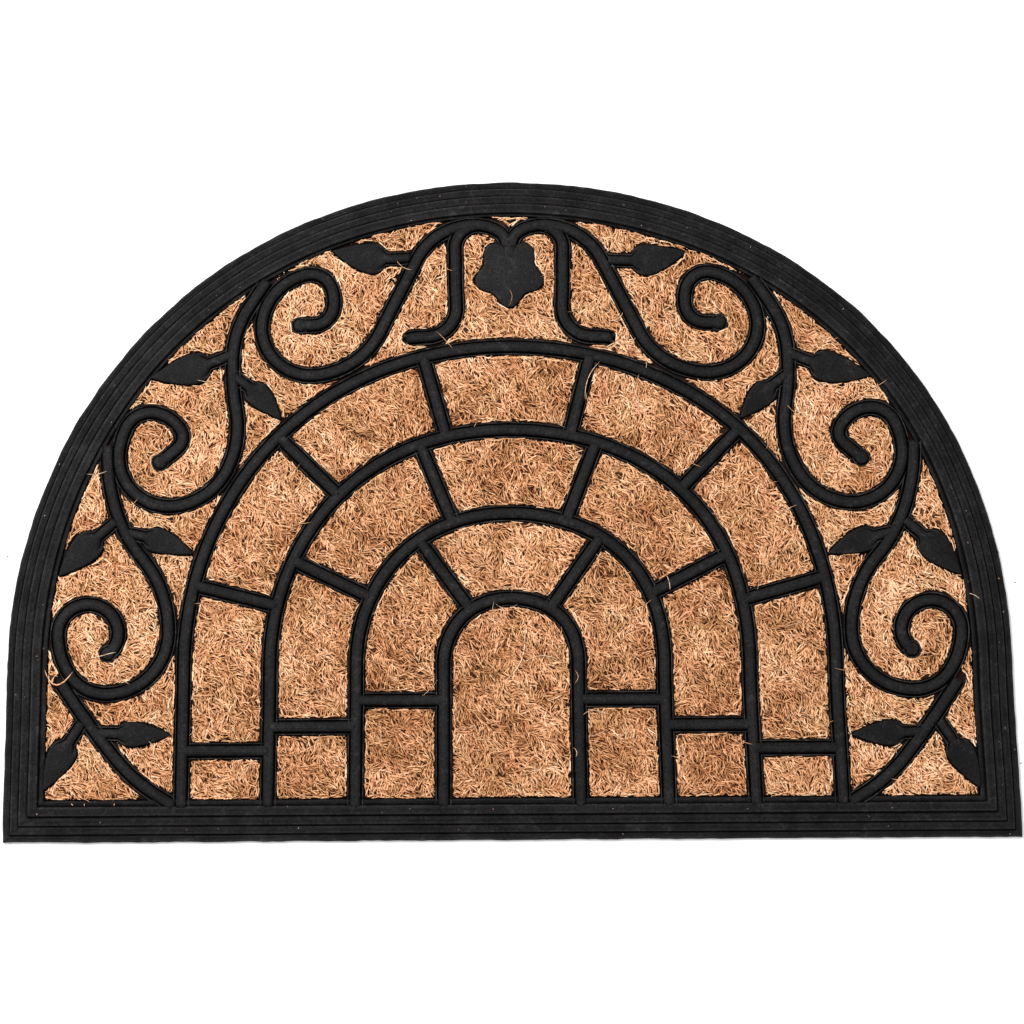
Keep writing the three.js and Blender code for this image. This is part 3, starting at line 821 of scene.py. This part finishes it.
def make_mat_base():
    """The cloth under the strands: a grid mapped to the half-round, its top following the pile a little lower
    and sinking under the ribs, its underside woven in low waves."""
    across, up = 150, 96
    u = np.linspace(-1.0, 1.0, across)
    v = np.linspace(0.0, 1.0, up)
    inset = BORDER_WIDTH + CLEARANCE
    half = HALF_WIDTH - inset
    x = half * np.sin(u * np.pi / 2)
    crest = SPRINGING + OPENING_RISE + np.sqrt(np.maximum(half ** 2 - x ** 2, 0.0))
    plan = pressed(paired(x[:, None], inset + v[None] * (crest[:, None] - inset)))
    free = smooth_share(room_at(plan), -0.6, 1.2)
    top = WEB_TOP + (pile_height(plan) - CLOTH_DROP - WEB_TOP) * free
    waves = np.cos(2 * np.pi * plan / WEAVE_PITCH)
    weave = WEAVE_HEIGHT * waves[..., 0] * waves[..., 1]
    rim = (np.abs(u)[:, None] > 0.999) | (np.abs(v - 0.5)[None] > 0.499)
    under = np.where(rim, 0.6, 0.3 + weave)
    cell = (np.arange(across - 1)[:, None] * up + np.arange(up - 1)).ravel()
    quads = np.stack([cell, cell + up, cell + up + 1, cell + 1], axis=1)
    total = across * up
    edge = np.concatenate([
        np.arange(across) * up,
        (across - 1) * up + np.arange(1, up),
        np.arange(across - 2, -1, -1) * up + up - 1,
        np.arange(up - 2, 0, -1),
    ])
    following = np.roll(edge, -1)
    wall = np.stack([edge + total, following + total, following, edge], axis=1)
    points = np.concatenate([raised(plan, top), raised(plan, under)])
    # Painted shade: the cloth's top is nearly black to stand in for the shade in the gaps between strands,
    # and goes to black beside the rubber; its underside keeps a plain brown
    tone = 0.05 + 0.05 * drift(points[:, :2], 3.0, 44)
    tone *= smooth_share(room_at(points[:, :2]), 0.0, 2.5)
    tone[total:] = 0.42 + 0.12 * weave.ravel() / WEAVE_HEIGHT
    return finished("coir_cloth", COIR, points, [quads, quads[:, ::-1] + total, wall], tone=tone)


def arcs(centres, angle, half, bend, shares):
    """Places along an arc in plan for each centre: it turns by bend over its length, and shares run from -1
    to 1 from tip to tip."""
    reach = np.sinc(bend[:, None] * shares * 0.25 / np.pi) * half[:, None] * shares
    middle = angle[:, None] + bend[:, None] * shares * 0.25
    return centres[:, None, :] + reach[..., None] * np.stack([np.cos(middle), np.sin(middle)], axis=2)


def spindles(plan, level, radius):
    """Flat spindles, each along its own row of places and levels, with a point at both ends. The sections
    between have three corners: a ridge 0.6 of the radius up, and an edge 0.3 of it down on either side."""
    count, stations = level.shape
    rings = stations - 2
    run = plan[:, 2:] - plan[:, :-2]
    run = run / np.linalg.norm(run, axis=2, keepdims=True)
    side = np.stack([-run[..., 1], run[..., 0]], axis=2)[:, :, None, :]
    wide = radius[..., None] * np.array([0.0, -1.0, 1.0])
    high = level[:, 1:-1, None] + radius[..., None] * np.array([0.6, -0.3, -0.3])
    ring = plan[:, 1:-1, None, :] + wide[..., None] * side
    body = np.concatenate([ring, high[..., None]], axis=3).reshape(count, -1, 3)
    tips = np.concatenate([plan[:, [0, -1]], level[:, [0, -1], None]], axis=2)
    points = np.concatenate([body, tips], axis=1)
    per = points.shape[1]
    one = np.arange(3)
    after = (one + 1) % 3
    row = np.arange(rings - 1)[:, None] * 3
    quads = np.stack([row + one, row + after, row + 3 + after, row + 3 + one], axis=2).reshape(-1, 4)
    last = (rings - 1) * 3
    ends = np.concatenate([
        np.stack([one, np.full(3, per - 2), after], axis=1),
        np.stack([last + one, last + after, np.full(3, per - 1)], axis=1),
    ])
    first = (np.arange(count) * per)[:, None, None]
    faces = [(quads[None] + first).reshape(-1, 4), (ends[None] + first).reshape(-1, 3)]
    return points.reshape(-1, 3), faces, per


def finished_strands(name, plan, level, radius, tone, fall=0.0):
    """Spindles of coir as one piece. Each has its tone on the ridge, less by fall on its edges and by half of
    that at its tips: painted shade on each strand's sides and ends against its lighter ridge."""
    points, faces, per = spindles(plan, level, radius)
    drop = np.full(per, fall)
    drop[:-2:3] = 0.0
    drop[-2:] = fall / 2
    return finished(name, COIR, points, faces, tone=np.clip(tone[:, None] - drop, 0.0, 1.0).ravel())


def shortened(centres, angle, half, limit):
    """Half lengths cut back so that neither end runs past where the room falls below the limit."""
    here = room_at(centres)
    ray = np.stack([np.cos(angle), np.sin(angle)], axis=1) * half[:, None]
    for sign in (-1.0, 1.0):
        end = room_at(centres + sign * ray)
        share = np.where(end < limit, (here - limit) / np.maximum(here - end, 1e-6), 1.0)
        half = half * np.clip(share, 0.12, 1.0)
    return half


# The pile: pieces it is made in, pitch of its strands, gaps in it, shares of a strand's length at which it
# has a section, and its headings in and between tufts in degrees
PIECES_OF_PILE = 4
PILE_PITCH = 1.30
HOLES = 70
STRAND_SHARES = np.array([-1.0, -0.62, 0.62, 1.0])
TUFT_HEADING = 97.0
ACROSS_HEADING = 150.0
# Painted shade taken off the tone on each pile strand's edges
STRAND_EDGE_SHADE = 0.26


def open_holes(places, rng):
    """True for the places that lie in one of the small gaps where the tufts have parted."""
    middles = rng.uniform((-HALF_WIDTH, 0.0), (HALF_WIDTH, HEIGHT), (HOLES, 2))
    sizes = rng.uniform(0.8, 1.4, HOLES)
    gap = np.zeros(len(places), bool)
    for middle, size in zip(middles, sizes):
        away = (places - middle) * np.array([1.5, 1.0])
        gap |= (away ** 2).sum(axis=1) < size ** 2
    return gap


def make_pile():
    """The pressed coir: strands laid on a jittered grid, each a short arc. Their heading swirls with slow
    noise, stands up in a tuft, lies across between tufts and follows the rubber's edge beside it. Deeper
    strands are painted darker as painted shade, strands beside the rubber are painted lighter to offset the
    shade there, and those outside the arches are a little lighter."""
    rng = np.random.default_rng(50)
    x = np.arange(-HALF_WIDTH, HALF_WIDTH, PILE_PITCH)
    y = np.arange(BORDER_WIDTH, HEIGHT, PILE_PITCH)
    places = np.stack(np.meshgrid(x, y, indexing="ij"), axis=2).reshape(-1, 2)
    places = places + rng.uniform(-0.5, 0.5, places.shape) * PILE_PITCH * 1.2
    places = places[room_at(places) > 0.35]
    places = places[~open_holes(places, rng)]
    parted = 0.32 * smooth_share(drift(places, 5.5, 56) + 0.4 * drift(places, 19.0, 57), 0.15, 0.6)
    places = places[rng.uniform(0.0, 1.0, len(places)) > parted]
    rng.shuffle(places)
    count = len(places)
    upright = tufts(places)[1]
    swirl = drift(places, 8.5, 51) * 52 + drift(places, 4.0, 52) * 30
    heading = np.where(upright > 0.5, TUFT_HEADING, ACROSS_HEADING)
    angle = np.radians(heading + swirl + rng.normal(0.0, 20.0, count))
    beside = rng.uniform(0.3, 2.4, count) > room_at(places)
    angle = np.where(beside, along_edge(places) + rng.normal(0.0, 0.22, count), angle)
    half = rng.uniform(2.1, 4.2, count)
    half = shortened(places, angle, half, rng.uniform(0.05, 0.55, count))
    thick = rng.uniform(0.32, 0.54, count) * np.clip(half / 1.5, 0.5, 1.0)
    bend = np.radians(drift(places, 7.0, 53) * 60 + rng.normal(0.0, 38.0, count)) * np.minimum(half / 2.5, 1)
    plan = arcs(places, angle, half, bend, STRAND_SHARES)
    depth = rng.uniform(0.0, 1.0, count)
    lift = rng.uniform(0.10, 0.45, count)
    level = pile_height(plan) - (0.75 * depth + 0.25)[:, None] - 0.5 * lift[:, None] * np.abs(STRAND_SHARES)
    level = np.minimum(level, THICKNESS - 0.6 * thick[:, None])
    radius = np.repeat(thick[:, None], 2, axis=1)
    # Painted shade: the tone falls with depth. Painted light: the tone rises beside the rubber to offset its
    # shade
    tone = 0.71 + 0.11 * drift(places, 10.0, 54) + 0.07 * drift(places, 26.0, 55) - 0.31 * depth
    tone += rng.normal(0.0, 0.09, count) + 0.14 * (1 - smooth_share(room_at(places), 0.6, 2.2))
    tone += 0.08 * smooth_share(np.hypot(places[:, 0], places[:, 1] - ARCH_CENTRE), 150.0, 215.0)
    made = []
    for part in range(PIECES_OF_PILE):
        pick = slice(part * count // PIECES_OF_PILE, (part + 1) * count // PIECES_OF_PILE)
        made.append(finished_strands(f"coir_pile_{part}", plan[pick], level[pick], radius[pick], tone[pick],
                                     STRAND_EDGE_SHADE))
    return made


# Loose strands that lie across the mat, each a curve through three places
STRAYS = (
    {"thick": 0.50, "tone": 0.75, "places": ((-258.8, 101.3), (-269.0, 92.6), (-276.3, 102.2))},
    {"thick": 0.24, "tone": 1.0, "places": ((-250.9, 108.0), (-242.0, 110.1), (-233.4, 112.2))},
    {"thick": 0.20, "tone": 1.0, "places": ((92.3, 156.8), (94.0, 152.1), (94.4, 146.9))},
    {"thick": 0.20, "tone": 1.0, "places": ((-30.3, 311.0), (-25.7, 308.2), (-22.3, 304.0))},
    {"thick": 0.20, "tone": 0.9, "places": ((54.7, 287.2), (46.9, 276.0), (45.3, 261.9))},
    {"thick": 0.16, "tone": 0.5, "places": ((-0.1, 331.7), (1.7, 327.0), (-0.5, 321.1))},
    {"thick": 0.26, "tone": 1.0, "places": ((7.6, 124.8), (5.7, 105.5), (-6.3, 91.8))},
    {"thick": 0.22, "tone": 1.0, "places": ((7.5, 104.3), (17.7, 108.5), (28.9, 105.4))},
    {"thick": 0.28, "tone": 1.0, "places": ((21.6, 81.4), (26.4, 83.2), (31.2, 85.6))},
    {"thick": 0.16, "tone": 0.7, "places": ((37.2, 99.9), (39.4, 95.7), (37.2, 91.5))},
    {"thick": 0.20, "tone": 1.0, "places": ((271.8, 144.3), (275.4, 143.1), (278.3, 140.7))},
    {"thick": 0.16, "tone": 0.9, "places": ((36.2, 53.9), (38.2, 50.9), (37.4, 47.9))},
)
HAIRS = 330
HAIR_STATIONS = 9
LEAF_TOP = 7.3


def cover(points):
    """Height of whatever lies on top at each place: a rib or leaf, or the pile beside it."""
    away = nearest_rib(points.reshape(-1, 2)).reshape(points.shape[:-1])
    rib = np.maximum(rib_skin(away)[0], LEAF_TOP)
    return np.where(room_at(points) < 0.3, rib, pile_height(points) - 0.1)


def make_hairs():
    """Long pale hairs on top of the pile: seeded arcs, and quadratic curves through the three places of each
    stray. They follow whatever they lie on."""
    rng = np.random.default_rng(60)
    shares = np.linspace(-1.0, 1.0, HAIR_STATIONS)
    centres = rng.uniform((-HALF_WIDTH, 0.0), (HALF_WIDTH, HEIGHT), (4 * HAIRS, 2))
    centres = centres[room_at(centres) > rng.uniform(-0.5, 4.0, len(centres))][:HAIRS]
    count = len(centres)
    half = rng.uniform(2.5, 8.0, count)
    bend = np.radians(rng.normal(0.0, 55.0, count))
    loose = arcs(centres, rng.uniform(0.0, np.pi, count), half, bend, shares)
    t = (shares[:, None] + 1) / 2
    start, middle, end = np.array([stray["places"] for stray in STRAYS]).transpose(1, 0, 2)[:, :, None, :]
    control = 2 * middle - (start + end) / 2
    laid = start * (1 - t) ** 2 + 2 * control * t * (1 - t) + end * t ** 2
    plan = np.concatenate([loose, laid])
    thick = np.concatenate([rng.uniform(0.11, 0.19, count), [stray["thick"] for stray in STRAYS]])
    tone = np.concatenate([rng.uniform(0.6, 0.95, count), [stray["tone"] for stray in STRAYS]])
    level = cover(plan) + 0.1 + thick[:, None]
    radius = thick[:, None] * np.sin(np.pi * (shares[1:-1] + 1) / 2) ** 0.35
    return finished_strands("loose_hairs", plan, level, radius, tone)


# Crumbs of coir that stand out on the border and its lip
CRUMBS = ((291.1, 170.0), (290.6, 153.9), (-258.8, 21.8), (-251.7, 21.7), (-234.0, 21.6), (-256.2, 24.7))
DUST = 60


def border_level(points):
    """Height of the border's skin at each place, from its distance in from the outer edge."""
    inset = -signed_distance(points, mat_outline(0.0, 4.0), 30.0)
    return skin(BORDER_SECTION, inset)[0]


def make_dust():
    """Short bits of coir on the border: the named crumbs, and seeded ones all round it."""
    rng = np.random.default_rng(70)
    rings = np.stack([mat_outline(inset, 3.0) for inset in (2.5, 6.5, 11.5, 17.0, 19.0, 22.3)])
    loose = rings[rng.integers(0, len(rings), DUST), rng.integers(0, rings.shape[1], DUST)]
    places = np.concatenate([np.array(CRUMBS), loose + rng.uniform(-1.0, 1.0, loose.shape)])
    count = len(places)
    half = np.concatenate([np.full(len(CRUMBS), 0.8), rng.uniform(0.25, 0.8, DUST)])
    thick = np.concatenate([np.full(len(CRUMBS), 0.26), rng.uniform(0.05, 0.12, DUST)])
    plan = arcs(places, rng.uniform(0.0, np.pi, count), half, rng.normal(0.0, 0.8, count), STRAND_SHARES)
    level = np.repeat((border_level(places) + 0.1 + thick)[:, None], len(STRAND_SHARES), axis=1)
    tone = rng.uniform(0.55, 0.9, count)
    return finished_strands("coir_dust", plan, level, np.repeat(thick[:, None], 2, axis=1), tone)


# Slivers of rubber left on the outer edge where the mould closed: place and the way each one points
BURRS = (
    {"place": (300.2, 151.5), "heading": 350},
    {"place": (-261.2, 246.0), "heading": 140},
    {"place": (300.4, 43.5), "heading": 20},
    {"place": (-300.2, 171.0), "heading": 200},
)


def make_burrs():
    """Each burr is one spindle, bent a little, level with the lowest terrace's edge."""
    half, bend, thick, height, lightness = 0.9, 0.5, 0.25, 2.0, 1.4
    places = np.array([burr["place"] for burr in BURRS])
    angle = np.radians([burr["heading"] for burr in BURRS])
    count = len(places)
    plan = arcs(places, angle, np.full(count, half), np.full(count, bend), STRAND_SHARES)
    level = np.full((count, len(STRAND_SHARES)), height)
    points, faces, per = spindles(plan, level, np.full((count, 2), thick))
    return finished("edge_burrs", RUBBER_PLAIN, points, faces, lightness=np.full(count * per, lightness))


grille = make_grille()
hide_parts("rubber_moulding")
make_knobs()
make_leaves()
make_flower()
make_flower_stem()
make_burrs()
border = make_border()
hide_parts("rubber_moulding")
cloth = make_mat_base()
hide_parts("coir_panel")
pile = make_pile() + [make_hairs()]
make_dust()


def make_floor():
    """A pale level floor, faintly clouded, well past the view."""
    material, tree, shader, where = paint("pale_floor")
    cloud = noise(tree, where["Object"], 3.0, 2.0)
    pale = ramp(tree, cloud, ((0.3, 0.93, 0.93, 0.93), (0.7, 0.95, 0.95, 0.95)))
    tree.links.new(pale, shader.inputs["Base Color"])
    shader.inputs["Roughness"].default_value = 0.9
    shader.inputs["Specular IOR Level"].default_value = 0.1
    reach, columns, drop = 6.0, 25, 0.0002
    side = np.linspace(-reach, reach, columns)
    plan = np.stack(np.meshgrid(side, side, indexing="ij"), axis=2)
    cell = (np.arange(columns - 1)[:, None] * columns + np.arange(columns - 1)).ravel()
    faces = np.stack([cell, cell + columns, cell + columns + 1, cell + 1], axis=1)
    mesh = bpy.data.meshes.new("floor")
    mesh.from_pydata(raised(plan, np.full(plan.shape[:2], -drop)).tolist(), [], faces.tolist())
    mesh.materials.append(material)
    floor = bpy.data.objects.new("floor", mesh)
    bpy.context.scene.collection.objects.link(floor)


def make_camera():
    """Camera at the photograph's angle: its depth axis leans from straight down, so that the arch recedes.
    It is set from the middle of the base edge, at the height of the plane that was measured."""
    lean_sine = 0.1847
    distance = 2.180
    base_up = 0.19247
    base_right = 0.000883
    focal_pixels = 3710.0
    picture_pixels = 1024
    roll = 0.00603
    plane = 0.0035
    lean_cosine = math.sqrt(1 - lean_sine ** 2)
    into = np.array([0.0, lean_sine, -lean_cosine])
    up = np.array([0.0, lean_cosine, lean_sine])
    right = np.array([1.0, 0.0, 0.0])
    base = np.array([0.0, -HEIGHT / 2 * MM, plane])
    where = base + base_right * right + base_up * up - distance * into
    rolled_right = right * math.cos(roll) - up * math.sin(roll)
    rolled_up = up * math.cos(roll) + right * math.sin(roll)
    data = bpy.data.cameras.new("camera")
    data.sensor_width = 36.0
    data.lens = data.sensor_width * focal_pixels / picture_pixels
    data.clip_start = 0.05
    data.clip_end = 60.0
    camera = bpy.data.objects.new("camera", data)
    turn = np.eye(4)
    turn[:3, 0], turn[:3, 1], turn[:3, 2], turn[:3, 3] = rolled_right, rolled_up, -into, where
    camera.matrix_world = Matrix(turn.tolist())
    bpy.context.scene.collection.objects.link(camera)
    bpy.context.scene.camera = camera


LAMPS = (
    {"name": "key", "place": (-1.1, 0.9, 1.8), "size": 1.2, "power": 62.0},
    {"name": "fill", "place": (1.4, -0.9, 2.0), "size": 1.6, "power": 16.0},
)


def make_lights():
    """A white room, a large soft lamp over the upper left and a weak one over the lower right."""
    world = bpy.data.worlds.new("studio")
    bpy.context.scene.world = world
    world.use_nodes = True
    background = world.node_tree.nodes["Background"]
    background.inputs["Color"].default_value = (1.0, 1.0, 1.0, 1.0)
    background.inputs["Strength"].default_value = 0.62
    for row in LAMPS:
        data = bpy.data.lights.new(row["name"], "AREA")
        data.shape = "SQUARE"
        data.size = row["size"]
        data.energy = row["power"]
        lamp = bpy.data.objects.new(row["name"], data)
        lamp.location = row["place"]
        away = np.array(row["place"]) / np.linalg.norm(row["place"])
        lamp.rotation_euler = (math.acos(away[2]), 0.0, math.atan2(away[1], away[0]) + math.pi / 2)
        bpy.context.scene.collection.objects.link(lamp)
    bpy.context.scene.view_settings.view_transform = "Standard"


make_floor()
make_camera()
make_lights()
